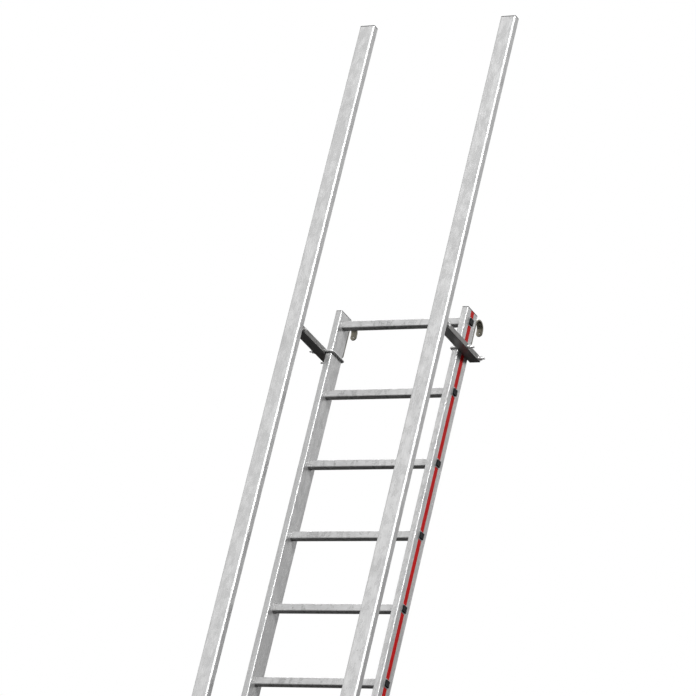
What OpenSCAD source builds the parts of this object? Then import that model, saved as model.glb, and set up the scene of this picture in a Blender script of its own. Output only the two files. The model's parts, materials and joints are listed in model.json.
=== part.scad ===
// Hook-on rung ladder with two clamped extension rails and swivel feet.
// Millimetres. Every piece is drawn on an upright ladder (X across, -Y to the
// climber, Z up along the stiles, zero at the foot pivots) and then leaned back,
// so that the soles lie flat on z = 0 and the origin is below the middle of the box.

/* [Ladder] */
// Number of rungs
rung_count = 12; // [8:1:16]
// Distance from rung to rung
rung_pitch = 280; // [240:1:340]
// Height of the lowest rung above the foot pivot
first_rung = 250; // [200:5:300]
// Stile length above the top rung's axis, without the cap
stile_above = 42; // [36:1:90]
// Width over both stiles
ladder_w = 541; // [400:1:660]
// Lean of the ladder from upright, in degrees
lean = 25.6; // [0:0.1:30]

/* [Stiles] */
// Stile width, across the ladder
stile_w = 25; // [24:0.5:32]
// Stile depth, front to back
stile_d = 77; // [60:1:98]
// Thickness of a stile's two broad walls
stile_side = 2.4; // [2.2:0.1:3]
// Thickness of a stile's front and back walls
stile_edge = 2.6; // [2:0.1:4]
// Outside corner radius of a stile
stile_r = 3; // [2:0.5:4]
// Stile length below the foot pivot
stile_below = 30; // [25:1:35]
// Thickness of the flange on a stile's cap
stile_cap_t = 3; // [1.5:0.5:4]

/* [Stripe] */
// Width of the coloured strip on a stile's outer side
stripe_w = 23; // [12:1:24]
// Thickness of the strip
stripe_t = 0.5; // [0.3:0.1:0.8]
// Depth of the groove that holds the strip
groove_t = 0.8; // [0.6:0.1:1.2]
// Width of the rib on each side of the groove
rib_w = 2; // [1:0.5:4]
// Width of the flat land at each corner of the stile
land_w = 7; // [5:0.5:12]
// Depth of the shallow bands between rib and land
band_t = 0.5; // [0.2:0.1:0.8]

/* [Rungs] */
// Side of the square rung tube
rung_w = 28; // [23:0.5:34]
// Wall of the rung tube
rung_wall = 2; // [1.5:0.1:3]
// Outside corner radius of the rung tube
rung_r = 4; // [3:0.5:5]
// Number of grip grooves along the top of a rung
tread_count = 5; // [3:1:7]
// Width of a grip groove
tread_w = 1.2; // [0.8:0.1:1.6]
// Depth of a grip groove
tread_t = 0.5; // [0.3:0.1:0.8]
// How far the rolled bead stands out beyond the rung's sides
bead_out = 2; // [1.5:0.5:3]
// Thickness of the rolled bead on each side of a stile
bead_t = 1.4; // [1:0.1:2.5]
// How far a rung's plug stands out of the bead
plug_out = 5; // [2:0.5:5]
// How far a plug reaches into its tube
plug_in = 16; // [10:1:25]

/* [Hooks] */
// Radius of the hook's throat, for a 48.3 mm tube
hook_r = 24.4; // [20:0.1:32]
// Width of the hook's steel strip
hook_w = 24; // [18:0.5:25]
// Thickness of the hook's steel strip
hook_t = 5; // [4:0.5:8]
// Height of the throat's centre above the top rung's axis
hook_up = 14; // [10:1:20]
// Length of the shank below the throat's centre
hook_shank = 125; // [110:1:126]
// Length of the tip below the throat's centre
hook_tip = 21; // [20:1:45]
// Diameter of the locking-pin hole in the tip
tip_hole_d = 6; // [5:0.5:8]
// Diameter of a hook bolt
hook_bolt_d = 8; // [6:1:8]
// Distance between the two hook bolts
hook_bolt_gap = 62; // [50:1:66]
// Distance from the shank's lower end up to the lower hook bolt
hook_bolt_up = 14; // [12:1:18]

/* [Extension rails] */
// Rail width, across the ladder
rail_w = 62; // [50:1:70]
// Rail depth, front to back
rail_d = 30; // [25:1:40]
// Wall of the rail tube
rail_wall = 2; // [1.6:0.1:3]
// Outside corner radius of the rail tube
rail_r = 6; // [3:0.5:8]
// Rail height above the top rung's axis, without the cap
rail_above = 1110; // [900:10:1300]
// Height of a rail's lower end above the foot pivot
rail_start = 850; // [700:10:900]
// Distance from a stile's front to a rail's back
rail_gap = 190; // [150:1:240]
// Thickness of the flange on a rail's cap
rail_cap_t = 4; // [2:0.5:6]

/* [Clamp brackets] */
// Bracket width, across the ladder
bracket_w = 42; // [38:1:50]
// Bracket height, along the ladder
bracket_h = 20; // [18:1:24]
// Wall of the bracket tube
bracket_wall = 2.5; // [2:0.1:3]
// Outside corner radius of the bracket tube
bracket_r = 1.5; // [1:0.1:2]
// Distance from the rung above down to a bracket's middle
bracket_drop = 123; // [120:1:126]
// How far a bracket reaches behind its stile
bracket_back = 16; // [15:1:20]
// The rung, counted from below, that the lower brackets hang under
lower_bracket_rung = 5; // [5:1:6]
// Rod diameter of a U-bolt
ubolt_d = 9; // [8:0.1:11]
// How far a U-bolt's thread stands out of its bracket
ubolt_out = 22; // [20:1:28]
// Width across flats of the 8 mm bolts' heads and nuts
small_af = 13; // [11:0.5:14]
// Width across flats of a U-bolt nut
ubolt_nut_af = 16; // [14:0.5:17]
// Height of a U-bolt nut
ubolt_nut_h = 8; // [6:0.5:9]
// Diameter of a U-bolt washer
washer_d = 20; // [18:0.5:22]
// Thickness of a U-bolt washer
washer_t = 2; // [1.5:0.5:2.5]
// Diameter of the bolt that holds a bracket to its rail lug
lug_bolt_d = 8; // [6:1:8]
// Distance from a rail's back to that bolt
lug_bolt_back = 22; // [20:1:26]
// Width of a lug's plate
lug_w = 40; // [30:1:44]
// Height of a lug's plate
lug_h = 62; // [56:1:80]
// Thickness of a lug's plate
lug_t = 4; // [3:0.5:6]
// How far a lug's tongue reaches behind the rail
tongue_l = 38; // [34:1:44]
// Diameter of a lug rivet
rivet_d = 5; // [4:0.5:6]
// Distance from a lug's end to its rivet
rivet_edge = 9; // [7:0.5:12]

/* [Feet] */
// Height of the foot pivot above the ground
pivot_up = 72; // [72:1:90]
// Length of a foot, front to back
foot_l = 112; // [100:1:140]
// Width of a foot
foot_w = 54; // [50:1:64]
// Thickness of the rubber pad
pad_t = 12; // [10:1:16]
// Thickness of the shoe's steel
shoe_t = 4; // [3:0.5:4]
// Width of a shoe's ear
ear_w = 46; // [36:1:50]
// Number of tread grooves under a pad
pad_grooves = 6; // [4:2:8]
// Width of a tread groove
pad_groove_w = 5; // [3:0.5:6]
// Depth of a tread groove
pad_groove_t = 3.5; // [2:0.5:5]
// Diameter of the pivot bolt
pivot_d = 10; // [8:1:12]
// Width across flats of the pivot bolt's head and nut
pivot_af = 16; // [14:0.5:18]
// Thickness of the flanges under the pivot bolt's head and nut
flange_t = 1.5; // [1:0.5:2]
// Diameter of the sleeve round the pivot bolt
sleeve_d = 14; // [14:0.5:18]
// Diameter of a pad rivet
pad_rivet_d = 6; // [5:0.5:7]
// Distance from the pivot to a pad rivet, front to back
pad_rivet_back = 39; // [36:1:44]

/* [Clearances] */
// Gap round a rung where it passes through a stile
rung_fit = 0.15; // [0.1:0.05:0.3]
// Gap round a plug, cap, tongue or sleeve in its tube
plug_fit = 0.3; // [0.1:0.05:0.5]
// Gap between a clamp's pieces and the stile
clamp_fit = 0.3; // [0.3:0.05:0.6]
// Gap round a bolt in a plain hole
hole_fit = 0.4; // [0.2:0.05:0.5]
// Gap round a bolt in its nut
thread_fit = 0.1; // [0.05:0.05:0.2]
// Running gap round the pivot bolt in the shoe
pivot_fit = 0.08; // [0.05:0.01:0.1]
// Gap between a shoe's ear and the stile
ear_fit = 0.5; // [0.3:0.1:1]
// Gap between a shoe's ear and the pivot bolt's flange
head_fit = 0.2; // [0.1:0.05:0.5]

/* [Hidden] */
$fn = 48;
ALLOY = "#c9cbce";
STEEL = "#8d9194";
ZINC = "#8c8870";
RED = "#cf0a0a";
PLASTIC = "#1b1c1e";
RUBBER = "#232323";

function pad2(i) = str(i < 10 ? "0" : "", i);
function rung_name(i) = str("rung_", pad2(i));
function rung_z(i) = first_rung + (i - 1) * rung_pitch;

SIDES = [["left", -1], ["right", 1]];
SIDE_PIECES = [
    "stile", "stile_cap", "stripes", "rung_plugs", "hook", "hook_bolts", "foot_bolt", "foot_sleeve",
    "foot_shoe", "foot_pad", "foot_rivets", "rail", "rail_top_cap", "rail_bottom_cap",
    "upper_bracket", "lower_bracket", "upper_lug", "lower_lug", "upper_ubolt", "lower_ubolt",
    "ubolt_nuts", "bracket_bolts", "lug_rivets"];

// Sizes that no neighbour depends on
stile_cap_in = 14;
rail_cap_in = 18;
inner_r = 1;
lug_r = 5;
foot_r = 6;
small_head_h = 5;
small_nut_h = 6;
pivot_head_h = 6.4;
pivot_nut_h = 8;
thread_end = 2;
front_gap = 2;
rivet_head_h = 2;
pad_rivet_floor = 1.5;

// Places on the upright ladder, for the right-hand side
top_rung = rung_z(rung_count);
stile_x = ladder_w / 2 - stile_w / 2;
stile_top = top_rung + stile_above;
stile_in = ladder_w / 2 - stile_w;
stile_out = ladder_w / 2;
bracket_in = stile_out + clamp_fit;
bracket_x = bracket_in + bracket_w / 2;
bracket_out = bracket_in + bracket_w;
rail_back = -stile_d / 2 - rail_gap;
rail_y = rail_back - rail_d / 2;
rail_top = top_rung + rail_above;
bracket_front = rail_back + lug_t + front_gap;
bracket_end = stile_d / 2 + bracket_back;
lug_bolt_y = rail_back + lug_bolt_back;
ubolt_y = stile_d / 2 + clamp_fit + ubolt_d / 2;
ubolt_x = stile_in - clamp_fit - ubolt_d / 2;
ubolt_bend = stile_r + clamp_fit + ubolt_d / 2;
upper_z = top_rung - bracket_drop;
lower_z = rung_z(lower_bracket_rung) - bracket_drop;
BRACKET_Z = [upper_z, lower_z];
hook_z = top_rung + hook_up;
hook_y = stile_d / 2 + hook_t + hook_r;
hook_bolt_low = hook_z - hook_shank + hook_bolt_up;
HOOK_BOLT_Z = [hook_bolt_low, hook_bolt_low + hook_bolt_gap];
tip_r = hook_w / 2;
rung_bore = rung_w - 2 * rung_wall;
rivet_z = lug_h / 2 - rivet_edge;
ear_x = stile_w / 2 + ear_fit;
shoe_top = pad_t + shoe_t;
pad_rivet_z = pad_groove_t + pad_rivet_floor;

// The box runs from the soles' front edge to the back of the rails' tops
back_y = rail_back * cos(lean) + (rail_top + rail_cap_t) * sin(lean);
base_y = (foot_l / 2 - back_y) / 2;

// ---- Placing ----

// Leans the upright ladder back about its foot pivots
module leaned() {
    translate([0, base_y, pivot_up]) rotate([-lean, 0, 0]) children();
}

// Turns the right-hand piece into the left-hand one
module on_side(side) {
    if (side < 0) mirror([1, 0, 0]) children();
    else children();
}

// Turns a section drawn in Y and Z so that it is extruded along X
module along_x() {
    rotate([90, 0, 90]) children();
}

// Turns a section drawn in X and Z so that it is extruded along Y
module along_y() {
    rotate([90, 0, 0]) mirror([0, 0, 1]) children();
}

// ---- Shared shapes ----

module rounded_rect(w, d, r) {
    square([w - 2 * r, d], center = true);
    square([w, d - 2 * r], center = true);
    for (x = [-1, 1], y = [-1, 1]) translate([x * (w / 2 - r), y * (d / 2 - r)]) circle(r);
}

module tube_section(w, d, wall, r) {
    difference() {
        rounded_rect(w, d, r);
        rounded_rect(w - 2 * wall, d - 2 * wall, max(r - wall, 0.5));
    }
}

module hex_prism(across_flats, height) {
    cylinder(d = across_flats / cos(30), h = height, $fn = 6);
}

module nut(across_flats, height, bore) {
    difference() {
        hex_prism(across_flats, height);
        translate([0, 0, -1]) cylinder(d = bore, h = height + 2);
    }
}

module washer(d, bore, thickness) {
    difference() {
        cylinder(d = d, h = thickness);
        translate([0, 0, -1]) cylinder(d = bore, h = thickness + 2);
    }
}

// A flat bar that ends in a half circle, with its round end's centre at zero
module round_end_bar(width, length, thickness) {
    cylinder(d = width, h = thickness);
    translate([-width / 2, 0, 0]) cube([width, length, thickness]);
}

// ---- Ladder ----

module stile_section() {
    band_w = stile_d / 2 - land_w - stripe_w / 2 - rib_w;
    difference() {
        rounded_rect(stile_w, stile_d, stile_r);
        rounded_rect(stile_w - 2 * stile_side, stile_d - 2 * stile_edge, inner_r);
        translate([stile_w / 2 - groove_t, -stripe_w / 2 - plug_fit])
            square([groove_t + 1, stripe_w + 2 * plug_fit]);
        for (y = [-1, 1]) mirror([0, y < 0 ? 1 : 0])
            translate([stile_w / 2 - band_t, stile_d / 2 - land_w - band_w])
                square([band_t + 1, band_w]);
    }
}

module stile() {
    color(ALLOY) difference() {
        translate([stile_x, 0, -stile_below]) linear_extrude(stile_top + stile_below) stile_section();
        for (i = [1:rung_count]) translate([stile_x, 0, rung_z(i)]) along_x()
            linear_extrude(stile_w + 2, center = true)
                rounded_rect(rung_w + 2 * rung_fit, rung_w + 2 * rung_fit, rung_r + rung_fit);
        for (z = HOOK_BOLT_Z) translate([stile_x, 0, z]) rotate([-90, 0, 0])
            cylinder(d = hook_bolt_d + hole_fit, h = stile_d);
        translate([stile_x, 0, 0]) rotate([0, 90, 0])
            cylinder(d = pivot_d + hole_fit, h = stile_w + 2, center = true);
    }
}

module stile_cap() {
    color(PLASTIC) translate([stile_x, 0, stile_top]) {
        linear_extrude(stile_cap_t) rounded_rect(stile_w, stile_d, stile_r);
        translate([0, 0, -stile_cap_in]) linear_extrude(stile_cap_in + stile_cap_t / 2) rounded_rect(
            stile_w - 2 * stile_side - 2 * plug_fit, stile_d - 2 * stile_edge - 2 * plug_fit, inner_r);
    }
}

// The strip lies in lengths between the rung ends
module stripes() {
    end_gap = rung_w / 2 + bead_out + plug_fit;
    starts = [for (i = [0:rung_count]) i == 0 ? -stile_below + 2 : rung_z(i) + end_gap];
    ends = [for (i = [0:rung_count]) i == rung_count ? stile_top : rung_z(i + 1) - end_gap];
    color(RED) for (i = [0:rung_count])
        translate([stile_out - groove_t, -stripe_w / 2, starts[i]]) difference() {
            cube([stripe_t, stripe_w, ends[i] - starts[i]]);
            translate([-1, stripe_w / 2, -starts[i]]) rotate([0, 90, 0])
                cylinder(d = sleeve_d + 8, h = stripe_t + 2);
        }
}

module rung(i) {
    bead_w = rung_w + 2 * bead_out;
    tread_pitch = (rung_w - 2 * rung_r) / tread_count;
    color(ALLOY) translate([0, 0, rung_z(i)]) along_x() difference() {
        union() {
            linear_extrude(ladder_w + 2 * bead_t, center = true) difference() {
                rounded_rect(rung_w, rung_w, rung_r);
                for (j = [1:tread_count])
                    translate([(j - (tread_count + 1) / 2) * tread_pitch - tread_w / 2, rung_w / 2 - tread_t])
                        square([tread_w, tread_t + 1]);
            }
            for (x = [-stile_out - bead_t, -stile_in, stile_in - bead_t, stile_out]) translate([0, 0, x])
                linear_extrude(bead_t) rounded_rect(bead_w, bead_w, rung_r + bead_out);
        }
        linear_extrude(ladder_w + 4 * bead_t, center = true)
            rounded_rect(rung_bore, rung_bore, rung_r - rung_wall);
    }
}

module rung_plugs() {
    body_w = rung_bore - 2 * plug_fit;
    color(PLASTIC) for (i = [1:rung_count])
        translate([stile_out + bead_t - plug_in, 0, rung_z(i)]) along_x()
            linear_extrude(plug_in + plug_out) rounded_rect(body_w, body_w, rung_r - rung_wall);
}

// ---- Hooks ----

module hook_arch() {
    difference() {
        cylinder(r = hook_r + hook_t, h = hook_w, center = true);
        cylinder(r = hook_r, h = hook_w + 2, center = true);
        translate([-2 * hook_r, -2 * hook_r, -hook_w])
            cube([4 * hook_r, 2 * hook_r, 2 * hook_w]);
    }
}

module hook() {
    shank_l = hook_shank - tip_r;
    tip_l = hook_tip - tip_r;
    color(ZINC) translate([stile_x, hook_y, hook_z]) difference() {
        union() {
            along_x() hook_arch();
            translate([0, -hook_r, -shank_l]) rotate([90, 0, 0]) round_end_bar(hook_w, shank_l, hook_t);
            translate([0, hook_r + hook_t, -tip_l]) rotate([90, 0, 0]) round_end_bar(hook_w, tip_l, hook_t);
        }
        translate([0, hook_r - 1, -tip_l]) rotate([-90, 0, 0]) cylinder(d = tip_hole_d, h = hook_t + 2);
        for (z = HOOK_BOLT_Z) translate([0, -hook_r + 1, z - hook_z]) rotate([90, 0, 0])
            cylinder(d = hook_bolt_d + hole_fit, h = hook_t + 2);
    }
}

// Hexagon bolts from behind, with their nuts inside the stile
module hook_bolts() {
    inside = stile_edge + small_nut_h + thread_end;
    color(STEEL) for (z = HOOK_BOLT_Z) translate([stile_x, stile_d / 2 + hook_t, z]) {
        rotate([-90, 0, 0]) hex_prism(small_af, small_head_h);
        rotate([90, 0, 0]) cylinder(d = hook_bolt_d, h = hook_t + inside);
        translate([0, -hook_t - stile_edge, 0]) rotate([90, 0, 0])
            nut(small_af, small_nut_h, hook_bolt_d + 2 * thread_fit);
    }
}

// ---- Extension rails ----

module rail() {
    color(ALLOY) difference() {
        translate([bracket_x, rail_y, rail_start]) linear_extrude(rail_top - rail_start)
            tube_section(rail_w, rail_d, rail_wall, rail_r);
        for (z = BRACKET_Z, end = [-1, 1]) translate([bracket_x, rail_y, z + end * rivet_z])
            rotate([-90, 0, 0]) cylinder(d = rivet_d + hole_fit, h = rail_d);
    }
}

module rail_cap() {
    inside = 2 * rail_wall + 2 * plug_fit;
    linear_extrude(rail_cap_t) rounded_rect(rail_w, rail_d, rail_r);
    translate([0, 0, -rail_cap_in]) linear_extrude(rail_cap_in + rail_cap_t / 2)
        rounded_rect(rail_w - inside, rail_d - inside, rail_r - rail_wall);
}

module rail_top_cap() {
    color(PLASTIC) translate([bracket_x, rail_y, rail_top]) rail_cap();
}

module rail_bottom_cap() {
    color(PLASTIC) translate([bracket_x, rail_y, rail_start]) rotate([180, 0, 0]) rail_cap();
}

module bracket(z) {
    color(STEEL) translate([0, 0, z]) difference() {
        translate([bracket_x, bracket_front, 0]) along_y() linear_extrude(bracket_end - bracket_front)
            tube_section(bracket_w, bracket_h, bracket_wall, bracket_r);
        for (y = [-ubolt_y, ubolt_y]) translate([bracket_x, y, 0]) rotate([0, 90, 0])
            cylinder(d = ubolt_d + 2 * hole_fit, h = bracket_w + 2, center = true);
        translate([bracket_x, lug_bolt_y, 0]) rotate([0, 90, 0])
            cylinder(d = lug_bolt_d + hole_fit, h = bracket_w + 2, center = true);
    }
}

// A plate riveted to the rail's back, with a tongue inside the bracket
module lug(z) {
    tongue_w = bracket_w - 2 * bracket_wall - 2 * plug_fit;
    tongue_h = bracket_h - 2 * bracket_wall - 2 * plug_fit;
    color(STEEL) translate([bracket_x, rail_back, z]) difference() {
        union() {
            along_y() linear_extrude(lug_t) rounded_rect(lug_w, lug_h, lug_r);
            along_y() linear_extrude(tongue_l) rounded_rect(tongue_w, tongue_h, inner_r);
        }
        translate([0, lug_bolt_back, 0]) rotate([0, 90, 0])
            cylinder(d = lug_bolt_d + hole_fit, h = bracket_w, center = true);
        for (end = [-1, 1]) translate([0, -1, end * rivet_z]) rotate([-90, 0, 0])
            cylinder(d = rivet_d + hole_fit, h = lug_t + 2);
    }
}

module lug_rivets() {
    head_d = 1.8 * rivet_d;
    blind_d = 1.4 * rivet_d;
    blind_h = 3;
    color(STEEL) for (z = BRACKET_Z, end = [-1, 1])
        translate([bracket_x, rail_back, z + end * rivet_z]) rotate([-90, 0, 0]) {
            translate([0, 0, -rail_wall - blind_h]) cylinder(d = blind_d, h = blind_h);
            translate([0, 0, -rail_wall - 1]) cylinder(d = rivet_d, h = rail_wall + lug_t + 2);
            translate([0, 0, lug_t]) cylinder(d1 = head_d, d2 = rivet_d, h = rivet_head_h);
        }
}

// The head is on the outer side and the nut on the inner side
module bracket_bolts() {
    shaft_l = thread_end + small_nut_h + bracket_w + 1;
    color(STEEL) for (z = BRACKET_Z) translate([0, lug_bolt_y, z]) rotate([0, 90, 0]) {
        translate([0, 0, bracket_out]) hex_prism(small_af, small_head_h);
        translate([0, 0, bracket_out + 1 - shaft_l]) cylinder(d = lug_bolt_d, h = shaft_l);
        translate([0, 0, bracket_in - small_nut_h]) nut(small_af, small_nut_h, lug_bolt_d + 2 * thread_fit);
    }
}

// The rod goes round the stile's inner side, and its legs go out through the bracket
module ubolt(z) {
    leg_from = ubolt_x + ubolt_bend;
    leg_l = bracket_out + ubolt_out - leg_from;
    straight = 2 * (ubolt_y - ubolt_bend);
    color(STEEL) translate([0, 0, z]) {
        for (side = [-1, 1]) {
            translate([leg_from, side * ubolt_y, 0]) rotate([0, 90, 0]) cylinder(d = ubolt_d, h = leg_l);
            mirror([0, side < 0 ? 1 : 0, 0]) translate([leg_from, straight / 2, 0]) rotate([0, 0, 90])
                rotate_extrude(angle = 90) translate([ubolt_bend, 0]) circle(d = ubolt_d);
        }
        translate([ubolt_x, 0, 0]) rotate([90, 0, 0]) cylinder(d = ubolt_d, h = straight, center = true);
    }
}

module ubolt_nuts() {
    bore = ubolt_d + 2 * thread_fit;
    color(STEEL) for (z = BRACKET_Z, y = [-ubolt_y, ubolt_y])
        translate([bracket_out, y, z]) rotate([0, 90, 0]) {
            washer(washer_d, bore, washer_t);
            translate([0, 0, washer_t]) nut(ubolt_nut_af, ubolt_nut_h, bore);
        }
}

// ---- Feet ----

module foot_bolt() {
    half = ear_x + shoe_t + head_fit;
    nut_out = half + flange_t + pivot_nut_h;
    bore = pivot_d + 2 * thread_fit;
    color(STEEL) translate([stile_x, 0, 0]) rotate([0, 90, 0]) {
        translate([0, 0, half]) cylinder(d = 2 * pivot_d, h = flange_t);
        translate([0, 0, half + flange_t]) hex_prism(pivot_af, pivot_head_h);
        translate([0, 0, -nut_out - 1]) cylinder(d = pivot_d, h = nut_out + half + 2);
        translate([0, 0, -half - flange_t]) washer(2 * pivot_d, bore, flange_t);
        translate([0, 0, -nut_out]) nut(pivot_af, pivot_nut_h, bore);
    }
}

// Keeps the stile's walls apart when the pivot bolt is tightened
module foot_sleeve() {
    color(STEEL) translate([stile_x, 0, 0]) rotate([0, 90, 0]) difference() {
        cylinder(d = sleeve_d, h = stile_w - 2 * stile_side, center = true);
        cylinder(d = pivot_d + hole_fit, h = stile_w, center = true);
    }
}

// Foot pieces are drawn above the ground, with the pivot over zero
module foot_shoe() {
    color(STEEL) difference() {
        union() {
            translate([0, 0, pad_t]) linear_extrude(shoe_t) rounded_rect(foot_w, foot_l, foot_r);
            for (x = [-ear_x - shoe_t, ear_x]) translate([x, 0, pivot_up]) rotate([90, 0, 90])
                mirror([0, 1, 0]) round_end_bar(ear_w, pivot_up - pad_t - shoe_t / 2, shoe_t);
        }
        translate([0, 0, pivot_up]) rotate([0, 90, 0])
            cylinder(d = pivot_d + 2 * pivot_fit, h = foot_w, center = true);
        for (y = [-pad_rivet_back, pad_rivet_back]) translate([0, y, 0])
            cylinder(d = pad_rivet_d + hole_fit, h = shoe_top + 1);
    }
}

module foot_pad() {
    groove_gap = foot_l / (pad_grooves + 1);
    color(RUBBER) difference() {
        linear_extrude(pad_t) rounded_rect(foot_w, foot_l, foot_r);
        for (i = [1:pad_grooves]) translate([-foot_w, i * groove_gap - foot_l / 2 - pad_groove_w / 2, -1])
            cube([2 * foot_w, pad_groove_w, pad_groove_t + 1]);
        for (y = [-pad_rivet_back, pad_rivet_back]) translate([0, y, pad_rivet_z])
            cylinder(d = pad_rivet_d + hole_fit, h = pad_t);
    }
}

module foot_rivets() {
    color(STEEL) for (y = [-pad_rivet_back, pad_rivet_back]) translate([0, y, 0]) {
        translate([0, 0, pad_rivet_z]) cylinder(d = pad_rivet_d, h = shoe_top - pad_rivet_z + 0.5);
        translate([0, 0, shoe_top]) cylinder(d1 = 2 * pad_rivet_d, d2 = 1.2 * pad_rivet_d, h = rivet_head_h);
    }
}

// ---- Assembly ----

module ladder_piece(piece) {
    if (piece == "stile") stile();
    if (piece == "stile_cap") stile_cap();
    if (piece == "stripes") stripes();
    if (piece == "rung_plugs") rung_plugs();
    if (piece == "hook") hook();
    if (piece == "hook_bolts") hook_bolts();
    if (piece == "foot_bolt") foot_bolt();
    if (piece == "foot_sleeve") foot_sleeve();
    if (piece == "rail") rail();
    if (piece == "rail_top_cap") rail_top_cap();
    if (piece == "rail_bottom_cap") rail_bottom_cap();
    if (piece == "upper_bracket") bracket(upper_z);
    if (piece == "lower_bracket") bracket(lower_z);
    if (piece == "upper_lug") lug(upper_z);
    if (piece == "lower_lug") lug(lower_z);
    if (piece == "upper_ubolt") ubolt(upper_z);
    if (piece == "lower_ubolt") ubolt(lower_z);
    if (piece == "ubolt_nuts") ubolt_nuts();
    if (piece == "bracket_bolts") bracket_bolts();
    if (piece == "lug_rivets") lug_rivets();
}

module foot_piece(piece) {
    if (piece == "foot_shoe") foot_shoe();
    if (piece == "foot_pad") foot_pad();
    if (piece == "foot_rivets") foot_rivets();
}

for (i = [1:rung_count])
    leaned() rung(i);

for (s = SIDES, piece = SIDE_PIECES)
    on_side(s[1]) {
        leaned() ladder_piece(piece);
        translate([stile_x, base_y, 0]) foot_piece(piece);
    }
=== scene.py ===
"""Looks for the hook-on ladder: materials, finer fasteners and caps, camera, light and floor."""
import json
from math import cos, pi, radians, sin, tau

import bmesh
import bpy
from mathutils import Matrix, Vector


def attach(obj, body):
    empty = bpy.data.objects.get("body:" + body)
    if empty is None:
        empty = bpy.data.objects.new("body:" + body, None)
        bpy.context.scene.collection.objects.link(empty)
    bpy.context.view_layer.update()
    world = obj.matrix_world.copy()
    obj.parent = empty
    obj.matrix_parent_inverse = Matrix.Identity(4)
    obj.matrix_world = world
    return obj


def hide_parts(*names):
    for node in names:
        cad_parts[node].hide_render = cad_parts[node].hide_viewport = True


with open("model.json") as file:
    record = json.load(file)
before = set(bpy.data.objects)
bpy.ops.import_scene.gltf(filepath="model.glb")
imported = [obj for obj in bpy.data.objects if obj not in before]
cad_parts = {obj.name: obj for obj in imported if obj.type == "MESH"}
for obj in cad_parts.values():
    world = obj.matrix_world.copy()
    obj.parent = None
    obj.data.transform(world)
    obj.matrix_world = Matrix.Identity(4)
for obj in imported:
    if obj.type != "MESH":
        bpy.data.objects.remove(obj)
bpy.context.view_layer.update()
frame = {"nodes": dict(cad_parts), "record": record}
NODES = frame["nodes"]
MM = 0.001
SIDES = {"left": -1, "right": 1}

# ---- The ladder's own axes: X across, Y to the back, Z up along the stiles ----

JOINTS = {joint["name"]: joint for joint in frame["record"]["behaviour"]["joints"]}
UP = Vector(JOINTS["right_rail_slide"]["axis"]).normalized()
BACK = Vector((0, UP.z, -UP.y))
PIVOT = Vector(JOINTS["right_foot_pivot"]["pos_m"])
LADDER = Matrix((
    (1, 0, 0, 0),
    (0, BACK.y, UP.y, PIVOT.y),
    (0, BACK.z, UP.z, PIVOT.z),
    (0, 0, 0, 1)))
LEAN = LADDER.to_euler().x


def local_box(node):
    """A node's lowest and highest corners, measured along the ladder's own axes."""
    inverse = LADDER.inverted()
    points = [inverse @ vertex.co for vertex in NODES[node].data.vertices]
    low = Vector([min(p[i] for p in points) for i in range(3)])
    high = Vector([max(p[i] for p in points) for i in range(3)])
    return low, high


def right_box(node):
    """The box of a node's right-hand twin: every finer piece is drawn there, then mirrored."""
    return local_box(node.replace("left", "right"))


RUNGS = sorted(name for name in NODES if name.startswith("rung_"))
RUNG_Z = [sum(corner.z for corner in local_box(name)) / 2 for name in RUNGS]
STILE_LOW, STILE_HIGH = local_box("right_stile")
STILE_X = (STILE_LOW.x + STILE_HIGH.x) / 2

# ---- Materials ----


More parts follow.
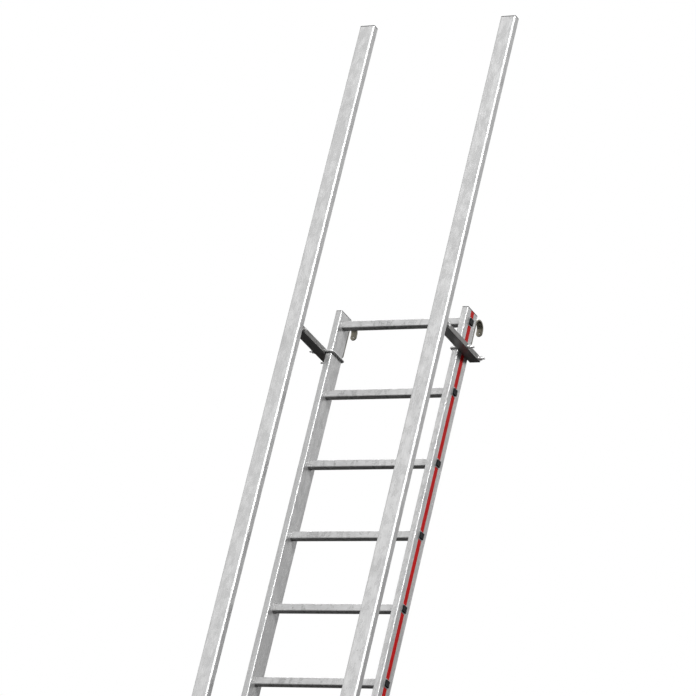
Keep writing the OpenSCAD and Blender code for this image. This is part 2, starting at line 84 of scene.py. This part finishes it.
class Graph:
    """A material's node tree, written as short calls."""

    def __init__(self, name):
        self.material = bpy.data.materials.new(name)
        self.material.use_nodes = True
        self.tree = self.material.node_tree
        self.shader = self.tree.nodes["Principled BSDF"]
        self.places = {}

    def add(self, kind, settings=None, **sockets):
        node = self.tree.nodes.new(kind)
        for key, value in (settings or {}).items():
            setattr(node, key, value)
        for key, value in sockets.items():
            self.put(node.inputs[key.replace("_", " ")], value)
        return node

    def put(self, socket, value):
        if isinstance(value, bpy.types.NodeSocket):
            self.tree.links.new(value, socket)
        else:
            socket.default_value = value

    def place(self, scale=(1, 1, 1)):
        """Coordinates along the ladder's own axes, in metres, stretched by scale."""
        if scale not in self.places:
            where = self.add("ShaderNodeTexCoord").outputs["Object"]
            turned = self.add("ShaderNodeMapping", {"vector_type": "POINT"}, Vector=where,
                              Rotation=(-LEAN, 0, 0), Location=LADDER.inverted().translation)
            scaled = self.add("ShaderNodeMapping", {"vector_type": "POINT"},
                              Vector=turned.outputs[0], Scale=scale)
            self.places[scale] = scaled.outputs[0]
        return self.places[scale]

    def noise(self, scale, size, detail=3.0, rough=0.55):
        node = self.add("ShaderNodeTexNoise", Vector=self.place(scale), Scale=size,
                        Detail=detail, Roughness=rough)
        return node.outputs["Fac"]

    def ramp(self, value, low, high, out_low=0.0, out_high=1.0):
        node = self.add("ShaderNodeMapRange", {"interpolation_type": "SMOOTHSTEP"}, Value=value)
        limits = {"From Min": low, "From Max": high, "To Min": out_low, "To Max": out_high}
        for key, number in limits.items():
            node.inputs[key].default_value = number
        return node.outputs["Result"]

    def math(self, operation, a, b):
        node = self.add("ShaderNodeMath", {"operation": operation})
        self.put(node.inputs[0], a)
        self.put(node.inputs[1], b)
        return node.outputs[0]

    def mix(self, factor, a, b):
        node = self.add("ShaderNodeMix", {"data_type": "RGBA"})
        self.put(node.inputs["Factor"], factor)
        self.put(node.inputs[6], a)
        self.put(node.inputs[7], b)
        return node.outputs[2]

    def edges(self, radius):
        """One along a sharp edge, zero on a flat face."""
        rounded = self.add("ShaderNodeBevel", {"samples": 4}, Radius=radius)
        flat = self.add("ShaderNodeNewGeometry")
        dot = self.add("ShaderNodeVectorMath", {"operation": "DOT_PRODUCT"})
        self.put(dot.inputs[0], rounded.outputs[0])
        self.put(dot.inputs[1], flat.outputs["Normal"])
        return self.ramp(dot.outputs["Value"], 0.99, 0.86)

    def bump(self, height, strength, distance):
        node = self.add("ShaderNodeBump", Height=height, Strength=strength, Distance=distance)
        self.put(self.shader.inputs["Normal"], node.outputs[0])


WHITE = (1.0, 1.0, 1.0)


def grey(level, tint=WHITE):
    """A colour of that brightness, with full opacity."""
    return tuple(level * t for t in tint) + (1.0,)


GRAIN = {"x": (1, 30, 30), "y": (30, 1, 30), "z": (30, 30, 1)}
FINER = 5
# Brightness factor for bare metal: real wear on the scratches, and on the edges also a painted
# highlight.
WORN_AND_HIGHLIGHT = 1.25
METAL_EDGE = 1.2 * MM
PLASTIC_EDGE = 0.8 * MM


def metal(name, level, tint, metallic, rough, grain, dull=0.8):
    """Drawn or rolled metal: lines along its grain, dull patches, scratches, and edges lightened
    both as worn bare metal and as a painted highlight.

    level is its brightness; dull and WORN_AND_HIGHLIGHT are factors on it, for dull patches and
    for bare metal, which on the edges is also a painted highlight.
    """
    g = Graph(name)
    along = GRAIN[grain]
    lines = g.noise(along, 22, 4.0)
    patches = g.noise((1, 1, 1), 7, 5.0)
    scratches = g.noise(tuple(s * FINER for s in along), 40, 2.0)
    smudges = g.noise((2, 2, 1), 26, 3.0)
    brightest = 0.95
    patch = grey(level * dull * 0.85, tint)
    scratch = grey(min(level * WORN_AND_HIGHLIGHT, brightest), tint)
    worn_edge_and_highlight = grey(min(level * WORN_AND_HIGHLIGHT * 1.1, brightest))
    colour = g.mix(g.ramp(lines, 0.3, 0.7), grey(level * dull, tint), grey(level, tint))
    colour = g.mix(g.ramp(patches, 0.55, 0.75, 0, 0.5), colour, patch)
    colour = g.mix(g.ramp(scratches, 0.68, 0.76, 0, 0.6), colour, scratch)
    # Sharp edges are lightened towards bare metal: partly real wear, partly a painted highlight
    # along the corners.
    colour = g.mix(g.math("MULTIPLY", g.edges(METAL_EDGE), 0.75), colour, worn_edge_and_highlight)
    g.put(g.shader.inputs["Base Color"], colour)
    g.shader.inputs["Metallic"].default_value = metallic
    uneven = g.math("ADD", g.ramp(smudges, 0.35, 0.7, rough - 0.08, rough + 0.1),
                    g.ramp(lines, 0.3, 0.7, 0.05, -0.05))
    g.put(g.shader.inputs["Roughness"], uneven)
    g.bump(g.math("ADD", lines, scratches), 0.25, 0.0003)
    return g.material


def plastic(name, colour, rough, scale=900, bump=0.25):
    """Moulded plastic or rubber: fine grain, dust and lighter rubbed edges."""
    g = Graph(name)
    grain = g.noise((1, 1, 1), scale, 2.0)
    dust = g.noise((1, 1, 1), 60, 4.0)
    dusty = tuple(min(c * 2.0 + 0.012, 1) for c in colour) + (1,)
    g.shader.inputs["Specular IOR Level"].default_value = 0.2
    mixed = g.mix(g.ramp(dust, 0.5, 0.8, 0, 0.35), colour + (1,), dusty)
    mixed = g.mix(g.math("MULTIPLY", g.edges(PLASTIC_EDGE), 0.5), mixed, dusty)
    g.put(g.shader.inputs["Base Color"], mixed)
    g.put(g.shader.inputs["Roughness"], g.ramp(dust, 0.3, 0.8, rough - 0.08, rough + 0.15))
    g.bump(grain, bump, 0.0002)
    return g.material


def red_film():
    """The coloured strip: red film, paler along its cut edges, with fine rubbed lines."""
    g = Graph("red_film")
    split = g.add("ShaderNodeSeparateXYZ", Vector=g.place())
    from_middle = g.math("ABSOLUTE", split.outputs["Y"], 0)
    low, high = local_box("right_stripes")
    edge = (high.y - low.y) / 2
    rubbed = g.noise((30, 30, 1), 30, 3.0)
    cloudy = g.noise((1, 1, 1), 9, 3.0)
    deep, bright = (0.76, 0.0, 0.0, 1), (0.9, 0.002, 0.002, 1)
    scuffed, cut_edge = (0.9, 0.03, 0.025, 1), (0.8, 0.35, 0.33, 1)
    at_edge = g.ramp(from_middle, edge - 0.8 * MM, edge - 0.2 * MM, 0, 0.7)
    red = g.mix(g.ramp(cloudy, 0.35, 0.7), deep, bright)
    red = g.mix(g.ramp(rubbed, 0.6, 0.75, 0, 0.3), red, scuffed)
    red = g.mix(at_edge, red, cut_edge)
    g.shader.inputs["Specular IOR Level"].default_value = 0.12
    g.put(g.shader.inputs["Base Color"], red)
    g.put(g.shader.inputs["Roughness"], g.ramp(rubbed, 0.3, 0.75, 0.3, 0.5))
    g.bump(rubbed, 0.1, 0.0002)
    return g.material


FINISHES = {
    "stile_alloy": metal("stile_aluminium", 0.66, WHITE, 0.45, 0.32, "z"),
    "rung_alloy": metal("rung_aluminium", 0.56, WHITE, 0.5, 0.34, "x"),
    "rail_alloy": metal("rail_aluminium", 0.62, WHITE, 0.45, 0.33, "z"),
    "bracket_steel": metal("bracket_zinc", 0.27, (1.0, 0.99, 0.97), 0.6, 0.38, "y"),
    "shoe_steel": metal("shoe_zinc", 0.45, (1.0, 1.0, 0.98), 0.6, 0.42, "x", dull=0.7),
    "zinc_steel": metal("hook_yellow_zinc", 0.26, (1.0, 0.93, 0.74), 0.7, 0.36, "z", dull=0.6),
    "fastener_steel": metal("bright_zinc", 0.85, WHITE, 0.75, 0.24, "x"),
    "black_plastic": plastic("black_plastic", (0.006, 0.006, 0.007), 0.5),
    "red_strip": red_film(),
    "pad_rubber": plastic("pad_rubber", (0.022, 0.022, 0.023), 0.72, 500, 0.5),
}
SLOT_OF = {part["node"]: part["material_slot"] for part in frame["record"]["subparts"]}
BODIES = frame["record"]["behaviour"]["bodies"]
BODY_OF = {node: body for body, nodes in BODIES.items() for node in nodes}


def paint(obj, finish):
    obj.data.materials.clear()
    obj.data.materials.append(FINISHES[finish])


for node, obj in NODES.items():
    paint(obj, SLOT_OF[node])

# ---- Outlines, each a list of points ----


def circle(radius, count=36):
    return [(radius * cos(tau * i / count), radius * sin(tau * i / count)) for i in range(count)]


def hexagon(across_flats, limit, count=60):
    """A hexagon whose corners are turned down to the radius limit."""
    points = []
    for i in range(count):
        angle = tau * i / count
        reach = across_flats / 2 / cos(angle % (pi / 3) - pi / 6)
        points.append((min(reach, limit) * cos(angle), min(reach, limit) * sin(angle)))
    return points


def rounded_rect(width, depth, radius, steps=6):
    """A rectangle with round corners, each an arc of that many steps."""
    points = []
    corners = ((1, 1, 0), (-1, 1, 1), (-1, -1, 2), (1, -1, 3))
    for sx, sy, quarter in corners:
        for i in range(steps + 1):
            angle = (quarter + i / steps) * pi / 2
            points.append((sx * (width / 2 - radius) + radius * cos(angle),
                           sy * (depth / 2 - radius) + radius * sin(angle)))
    return points


# ---- Finer pieces, drawn on the right-hand side along the ladder's own axes ----


class Piece:
    """One visible piece, drawn on the right and shown in place of a CAD node."""

    def __init__(self, node):
        self.node = node
        self.mesh = bmesh.new()

    def skin(self, rings, place, loop=False):
        """Joins rings of points, then closes the two ends, or joins the last ring to the first."""
        rows = [[self.mesh.verts.new(place @ Vector(p)) for p in ring] for ring in rings]
        pairs = list(zip(rows, rows[1:]))
        if loop:
            pairs.append((rows[-1], rows[0]))
        for one, two in pairs:
            for i in range(len(one)):
                j = (i + 1) % len(one)
                self.mesh.faces.new((one[i], one[j], two[j], two[i]))
        if not loop:
            self.mesh.faces.new(rows[0])
            self.mesh.faces.new(rows[-1])

    def finish(self, smooth=35):
        """Places the piece on its own side, on the CAD node's body and with its finish."""
        side = SIDES[self.node.split("_")[0]]
        self.mesh.transform(LADDER @ Matrix.Diagonal((side, 1, 1, 1)))
        bmesh.ops.recalc_face_normals(self.mesh, faces=self.mesh.faces)
        data = bpy.data.meshes.new(self.node + "_fine")
        self.mesh.to_mesh(data)
        self.mesh.free()
        obj = bpy.data.objects.new(self.node + "_fine", data)
        bpy.context.scene.collection.objects.link(obj)
        data.shade_smooth()
        data.set_sharp_from_angle(angle=radians(smooth))
        paint(obj, SLOT_OF[self.node])
        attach(obj, BODY_OF[self.node])
        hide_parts(self.node)


ALONG_X = Matrix.Rotation(pi / 2, 4, "Y")
ALONG_MINUS_X = Matrix.Rotation(-pi / 2, 4, "Y")
ALONG_Y = Matrix.Rotation(-pi / 2, 4, "X")
ALONG_MINUS_Y = Matrix.Rotation(pi / 2, 4, "X")


def at(x, y, z, turn=Matrix.Identity(4)):
    return Matrix.Translation((x, y, z)) @ turn


def lift(outline, z):
    return [(x, y, z) for x, y in outline]


CHAMFER_SLOPE = 0.577


def chamfers(across_flats, height, both=True):
    """Heights and radii of a hexagon's turned-down ends, at 30 degrees."""
    corner = across_flats / 2 / cos(pi / 6)
    start = across_flats * 0.475
    drop = (corner - start) * CHAMFER_SLOPE
    steps = 4
    rising = [(drop * i / steps, start + (corner - start) * i / steps) for i in range(steps + 1)]
    falling = [(height - z, r) for z, r in reversed(rising)]
    return (rising if both else [(0.0, corner)]) + falling


def nut(piece, across_flats, height, bore, place):
    lead = 0.5 * MM
    rings = [lift(hexagon(across_flats, r), z) for z, r in chamfers(across_flats, height)]
    for z, r in ((height, bore + lead), (height - lead, bore), (lead, bore), (0, bore + lead)):
        rings.append(lift(circle(r, 60), z))
    piece.skin(rings, place, loop=True)


def washer(piece, diameter, bore, thickness, place):
    soft = 0.3 * MM
    outer = diameter / 2
    path = ((0, bore), (0, outer - soft), (soft, outer), (thickness - soft, outer),
            (thickness, outer - soft), (thickness, bore))
    piece.skin([lift(circle(r, 48), z) for z, r in path], place, loop=True)


def bolt_head(piece, across_flats, height, place):
    """A hexagon head with a turned top and a shallow dished middle."""
    profile = chamfers(across_flats, height, both=False)
    rings = [lift(hexagon(across_flats, r), z) for z, r in profile]
    for share, sink in ((0.40, 0.0), (0.34, 0.25 * MM), (0.1, 0.35 * MM)):
        rings.append(lift(circle(across_flats * share, 60), height - sink))
    piece.skin(rings, place)


def threaded_rod(piece, diameter, length, place, thread, pitch=1.25 * MM):
    """A rod along its own Z whose last stretch is cut with a thread."""
    count, steps, depth = 24, 5, 0.045 * diameter + 0.25 * MM
    smooth = [0.0, length - thread]
    cut = [length - thread + i * pitch / steps for i in range(1, int(thread / pitch * steps))]
    rings = [lift(circle(diameter / 2, count), z) for z in smooth]
    for z in cut:
        ring = []
        for i in range(count):
            phase = (z / pitch + i / count) % 1.0
            fade = min(1.0, (z - length + thread) / pitch, (length - z) / pitch + 0.3)
            radius = diameter / 2 - depth * fade * (1 - abs(2 * phase - 1))
            ring.append((radius * cos(tau * i / count), radius * sin(tau * i / count), z))
        rings.append(ring)
    rings.append(lift(circle(diameter / 2 - depth, count), length))
    piece.skin(rings, place)


def soft_block(piece, outline, low, high, soft, place, dish=0.0):
    """A moulded block with rounded top edges; dish sinks the middle of its top.

    outline is the block's width, depth and corner radius.
    """
    width, depth, radius = outline
    rings = [lift(rounded_rect(width, depth, radius), low)]
    steps = 5
    for i in range(steps + 1):
        angle = pi / 2 * i / steps
        inset = 2 * soft * (1 - cos(angle))
        corner = max(radius - inset / 2, 0.2 * MM)
        z = high - soft + soft * sin(angle)
        rings.append(lift(rounded_rect(width - inset, depth - inset, corner), z))
    rim = 2 * soft + 2.5 * MM
    for inset, least, z in ((rim, 0.6 * MM, high), (rim + 1.5 * MM, 0.5 * MM, high - dish)):
        corner = max(radius - inset / 2, least)
        rings.append(lift(rounded_rect(width - inset, depth - inset, corner), z))
    piece.skin(rings, place)


# ---- Fasteners; AF is a width across flats, D a diameter, T a thickness ----

THREAD_GAP = 0.1 * MM
SMALL_RADIUS = 4 * MM
SMALL_AF = 13 * MM
SMALL_HEAD = 5 * MM
SMALL_NUT = 6 * MM
BRACKET_BOLT_THREAD = 14 * MM
HOOK_BOLT_THREAD = 10 * MM
STILE_CORNER = 3 * MM
STILE_WALL = 2.6 * MM
UBOLT_AF = 16 * MM
UBOLT_NUT = 8 * MM
UBOLT_THREAD = 46 * MM
WASHER_D = 20 * MM
WASHER_T = 2 * MM


def ubolt(node):
    """Threaded legs, and a rod bent round the stile's inner side."""
    low, high = right_box(node)
    diameter = high.z - low.z
    radius, z = diameter / 2, (high.z + low.z) / 2
    leg_y, bar_x = high.y - radius, low.x + radius
    bend = leg_y - (STILE_HIGH.y - STILE_CORNER)
    turn_x = bar_x + bend
    path = []
    steps = 10
    for side in (-1, 1):
        arc = [(turn_x - bend * sin(a), side * (leg_y - bend + bend * cos(a)))
               for a in (pi / 2 * i / steps for i in range(steps + 1))]
        path += arc if side < 0 else arc[::-1]
    piece = Piece(node)
    rod = []
    for i, (x, y) in enumerate(path):
        before, after = path[max(i - 1, 0)], path[min(i + 1, len(path) - 1)]
        along = Vector((after[0] - before[0], after[1] - before[1], 0)).normalized()
        if i == 0:
            along = Vector((-1, 0, 0))
        if i == len(path) - 1:
            along = Vector((1, 0, 0))
        out = along.cross(Vector((0, 0, 1)))
        centre = Vector((x, y, z))
        rod.append([tuple(centre + out * (radius * cos(a)) + Vector((0, 0, radius * sin(a))))
                    for a in (tau * k / 24 for k in range(24))])
    piece.skin(rod, Matrix.Identity(4))
    for side in (-1, 1):
        threaded_rod(piece, diameter, high.x - turn_x, at(turn_x, side * leg_y, z, ALONG_X),
                     UBOLT_THREAD)
    piece.finish()
    return leg_y, radius


BRACKETS = ("upper", "lower")
BRACKET_IN, BRACKET_OUT = (corner.x for corner in local_box("right_upper_bracket"))
BRACKET_Z = {end: sum(corner.z for corner in local_box(f"right_{end}_bracket")) / 2
             for end in BRACKETS}
LUG_BOLT_Y = sum(corner.y for corner in local_box("right_bracket_bolts")) / 2


def ubolt_nuts(node, leg_y, radius):
    """Four washers and nuts on the outer sides of the two brackets."""
    piece = Piece(node)
    for end in BRACKETS:
        for y in (-leg_y, leg_y):
            washer(piece, WASHER_D, radius + THREAD_GAP, WASHER_T,
                   at(BRACKET_OUT, y, BRACKET_Z[end], ALONG_X))
            nut(piece, UBOLT_AF, UBOLT_NUT, radius + THREAD_GAP,
                at(BRACKET_OUT + WASHER_T, y, BRACKET_Z[end], ALONG_X))
    piece.finish()


def bracket_bolts(node):
    """A bolt and nut through the front end of each bracket."""
    rod_end = right_box(node)[0].x
    piece = Piece(node)
    for z in BRACKET_Z.values():
        bolt_head(piece, SMALL_AF, SMALL_HEAD, at(BRACKET_OUT, LUG_BOLT_Y, z, ALONG_X))
        threaded_rod(piece, 2 * SMALL_RADIUS, BRACKET_OUT - rod_end,
                     at(BRACKET_OUT, LUG_BOLT_Y, z, ALONG_MINUS_X), BRACKET_BOLT_THREAD)
        nut(piece, SMALL_AF, SMALL_NUT, SMALL_RADIUS + THREAD_GAP,
            at(BRACKET_IN, LUG_BOLT_Y, z, ALONG_MINUS_X))
    piece.finish()


def heights_of(node):
    """Middle heights of the two fasteners in a node."""
    middle = sum(corner.z for corner in right_box(node)) / 2
    inverse = LADDER.inverted()
    heights = [(inverse @ v.co).z for v in NODES[node].data.vertices]
    lower = [z for z in heights if z < middle]
    upper = [z for z in heights if z >= middle]
    return [(min(part) + max(part)) / 2 for part in (lower, upper)]


def hook_bolts(node):
    """Two bolts from behind through each hook, with their nuts inside the stile."""
    low, high = right_box(node)
    head_y = high.y - SMALL_HEAD
    piece = Piece(node)
    for z in heights_of(node):
        bolt_head(piece, SMALL_AF, SMALL_HEAD, at(STILE_X, head_y, z, ALONG_Y))
        threaded_rod(piece, 2 * SMALL_RADIUS, head_y - low.y,
                     at(STILE_X, head_y, z, ALONG_MINUS_Y), HOOK_BOLT_THREAD)
        nut(piece, SMALL_AF, SMALL_NUT, SMALL_RADIUS + THREAD_GAP,
            at(STILE_X, STILE_HIGH.y - STILE_WALL, z, ALONG_MINUS_Y))
    piece.finish()


PIVOT_D = 10 * MM
PIVOT_AF = 16 * MM
PIVOT_HEAD = 6.4 * MM
PIVOT_NUT = 8 * MM
PIVOT_FLANGE = 1.5 * MM
PIVOT_THREAD = 12 * MM
PIVOT_PITCH = 1.5 * MM


def foot_bolt(node):
    """The pivot bolt of a foot: flanged head outside, flanged nut inside."""
    low, high = right_box(node)
    tail = 1 * MM
    bore = PIVOT_D / 2 + THREAD_GAP
    head_x = high.x - PIVOT_HEAD
    nut_x = low.x + tail
    piece = Piece(node)
    washer(piece, 2 * PIVOT_D, PIVOT_D / 2, PIVOT_FLANGE,
           at(head_x - PIVOT_FLANGE, 0, 0, ALONG_X))
    bolt_head(piece, PIVOT_AF, PIVOT_HEAD, at(head_x, 0, 0, ALONG_X))
    threaded_rod(piece, PIVOT_D, head_x - low.x, at(head_x, 0, 0, ALONG_MINUS_X),
                 PIVOT_THREAD, PIVOT_PITCH)
    nut(piece, PIVOT_AF, PIVOT_NUT, bore, at(nut_x, 0, 0, ALONG_X))
    washer(piece, 2 * PIVOT_D, bore, PIVOT_FLANGE, at(nut_x + PIVOT_NUT, 0, 0, ALONG_X))
    piece.finish()


# ---- Plastic plugs and caps ----

RAIL_CAP_FLANGE = 4 * MM
PLUG_OVERLAP = 0.5 * MM


def rung_plugs(node):
    """The dished square plugs in the rung ends of one side."""
    low, high = right_box(node)
    width = high.y - low.y
    piece = Piece(node)
    for z in RUNG_Z:
        soft_block(piece, (width, width, 2 * MM), low.x, high.x, soft=1 * MM,
                   place=at(0, 0, z, ALONG_X), dish=0.8 * MM)
    piece.finish()


def cap(node, flange, length, place, size, corner, soft, wall, plug_corner):
    """A cap: a flange with rounded edges and, under it, the plug that fills the tube."""
    width, depth = size
    piece = Piece(node)
    soft_block(piece, (width, depth, corner), 0, flange, soft, place)
    outline = rounded_rect(width - 2 * wall, depth - 2 * wall, plug_corner)
    piece.skin([lift(outline, z) for z in (-length, PLUG_OVERLAP)], place)
    piece.finish()


def rail_cap(node, top):
    low, high = right_box(node)
    middle = (low + high) / 2
    place = (at(middle.x, middle.y, high.z - RAIL_CAP_FLANGE) if top
             else at(middle.x, middle.y, low.z + RAIL_CAP_FLANGE, Matrix.Rotation(pi, 4, "X")))
    cap(node, RAIL_CAP_FLANGE, high.z - low.z - RAIL_CAP_FLANGE, place,
        (high.x - low.x, high.y - low.y), corner=6 * MM, soft=1.8 * MM,
        wall=2.3 * MM, plug_corner=4 * MM)


def stile_cap(node):
    low, high = right_box(node)
    middle = (low + high) / 2
    cap(node, high.z - STILE_HIGH.z, STILE_HIGH.z - low.z, at(middle.x, middle.y, STILE_HIGH.z),
        (high.x - low.x, high.y - low.y), corner=3 * MM, soft=1.2 * MM,
        wall=2.9 * MM, plug_corner=1 * MM)


for side in SIDES:
    for end in BRACKETS:
        leg_y, radius = ubolt(f"{side}_{end}_ubolt")
    ubolt_nuts(f"{side}_ubolt_nuts", leg_y, radius)
    bracket_bolts(f"{side}_bracket_bolts")
    hook_bolts(f"{side}_hook_bolts")
    foot_bolt(f"{side}_foot_bolt")
    rung_plugs(f"{side}_rung_plugs")
    rail_cap(f"{side}_rail_top_cap", top=True)
    rail_cap(f"{side}_rail_bottom_cap", top=False)
    stile_cap(f"{side}_stile_cap")

# ---- Camera, floor and light ----

scene = bpy.context.scene
AIM_FROM_TOP_RUNG = Vector((-0.157, -0.086, -0.090))
AZIMUTH, ELEVATION = 30.04, -2.84
DISTANCE = 15.784
LENS = 229.3
FLOOR_RADIUS = 60
FADE_START, FADE_END = 6, 30
FLOOR_DARK = 0.05
SOFT_LIGHT = 0.16


def turned_to(azimuth, elevation):
    """The direction from the object to a viewer at that azimuth and elevation, in degrees."""
    a, e = radians(azimuth), radians(elevation)
    return Vector((sin(a) * cos(e), -cos(a) * cos(e), sin(e)))


def look_along(direction):
    return (-direction).to_track_quat("-Z", "Y").to_euler()


def add_camera():
    """The photograph's view: a long lens, 30 degrees to the right and a little from below."""
    rung_half = 14 * MM
    top_rung = LADDER @ Vector((0, STILE_LOW.y, RUNG_Z[-1] - rung_half))
    aim = top_rung + AIM_FROM_TOP_RUNG
    towards = turned_to(AZIMUTH, ELEVATION)
    data = bpy.data.cameras.new("camera")
    data.lens = LENS
    data.sensor_width = 36
    data.clip_end = 400
    camera = bpy.data.objects.new("camera", data)
    camera.location = aim + towards * DISTANCE
    camera.rotation_euler = look_along(towards)
    scene.collection.objects.link(camera)
    scene.camera = camera


def add_sun(name, azimuth, elevation, strength, softness):
    data = bpy.data.lights.new(name, "SUN")
    data.energy = strength
    data.angle = radians(softness)
    sun = bpy.data.objects.new(name, data)
    sun.rotation_euler = look_along(turned_to(azimuth, elevation))
    scene.collection.objects.link(sun)


def add_floor():
    """Pale to the camera, fading to white far out; dark to all other rays."""
    mesh = bmesh.new()
    bmesh.ops.create_circle(mesh, cap_ends=True, radius=FLOOR_RADIUS, segments=96)
    data = bpy.data.meshes.new("floor")
    mesh.to_mesh(data)
    mesh.free()
    floor = bpy.data.objects.new("floor", data)
    scene.collection.objects.link(floor)
    g = Graph("floor_paper")
    where = g.add("ShaderNodeTexCoord").outputs["Object"]
    distance = g.add("ShaderNodeVectorMath", {"operation": "LENGTH"})
    g.put(distance.inputs[0], where)
    speckle = g.add("ShaderNodeTexNoise", Scale=3.0, Detail=2.0)
    pale = g.mix(speckle.outputs["Fac"], grey(0.84), grey(0.9))
    paper = g.add("ShaderNodeBsdfDiffuse", Color=pale)
    white = g.add("ShaderNodeEmission", Strength=1.0)
    fade = g.add("ShaderNodeMixShader")
    g.put(fade.inputs[0], g.ramp(distance.outputs["Value"], FADE_START, FADE_END))
    g.put(fade.inputs[1], paper.outputs[0])
    g.put(fade.inputs[2], white.outputs[0])
    dark = g.add("ShaderNodeBsdfDiffuse", Color=grey(FLOOR_DARK))
    rays = g.add("ShaderNodeLightPath")
    seen = g.add("ShaderNodeMixShader")
    g.put(seen.inputs[0], rays.outputs["Is Camera Ray"])
    g.put(seen.inputs[1], dark.outputs[0])
    g.put(seen.inputs[2], fade.outputs[0])
    g.put(g.tree.nodes["Material Output"].inputs["Surface"], seen.outputs[0])
    floor.data.materials.append(g.material)


def add_world():
    """White to the camera, reflections and glass, and soft grey light to everything else."""
    world = bpy.data.worlds.new("studio")
    world.use_nodes = True
    scene.world = world
    tree = world.node_tree
    tree.nodes.clear()
    rays = tree.nodes.new("ShaderNodeLightPath")
    seen = rays.outputs["Is Camera Ray"]
    for other in ("Is Glossy Ray", "Is Transmission Ray"):
        either = tree.nodes.new("ShaderNodeMath")
        either.operation = "MAXIMUM"
        tree.links.new(seen, either.inputs[0])
        tree.links.new(rays.outputs[other], either.inputs[1])
        seen = either.outputs[0]
    soft = tree.nodes.new("ShaderNodeBackground")
    soft.inputs["Strength"].default_value = SOFT_LIGHT
    white = tree.nodes.new("ShaderNodeBackground")
    white.inputs["Color"].default_value = (1, 1, 1, 1)
    mix = tree.nodes.new("ShaderNodeMixShader")
    tree.links.new(seen, mix.inputs[0])
    tree.links.new(soft.outputs[0], mix.inputs[1])
    tree.links.new(white.outputs[0], mix.inputs[2])
    out = tree.nodes.new("ShaderNodeOutputWorld")
    tree.links.new(mix.outputs[0], out.inputs["Surface"])


add_camera()
add_floor()
add_world()
add_sun("key", 0, 55, 1.9, 25)
add_sun("corner", 70, 36, 1.4, 12)
add_sun("back", 200, 35, 1.7, 25)
scene.view_settings.view_transform = "Standard"
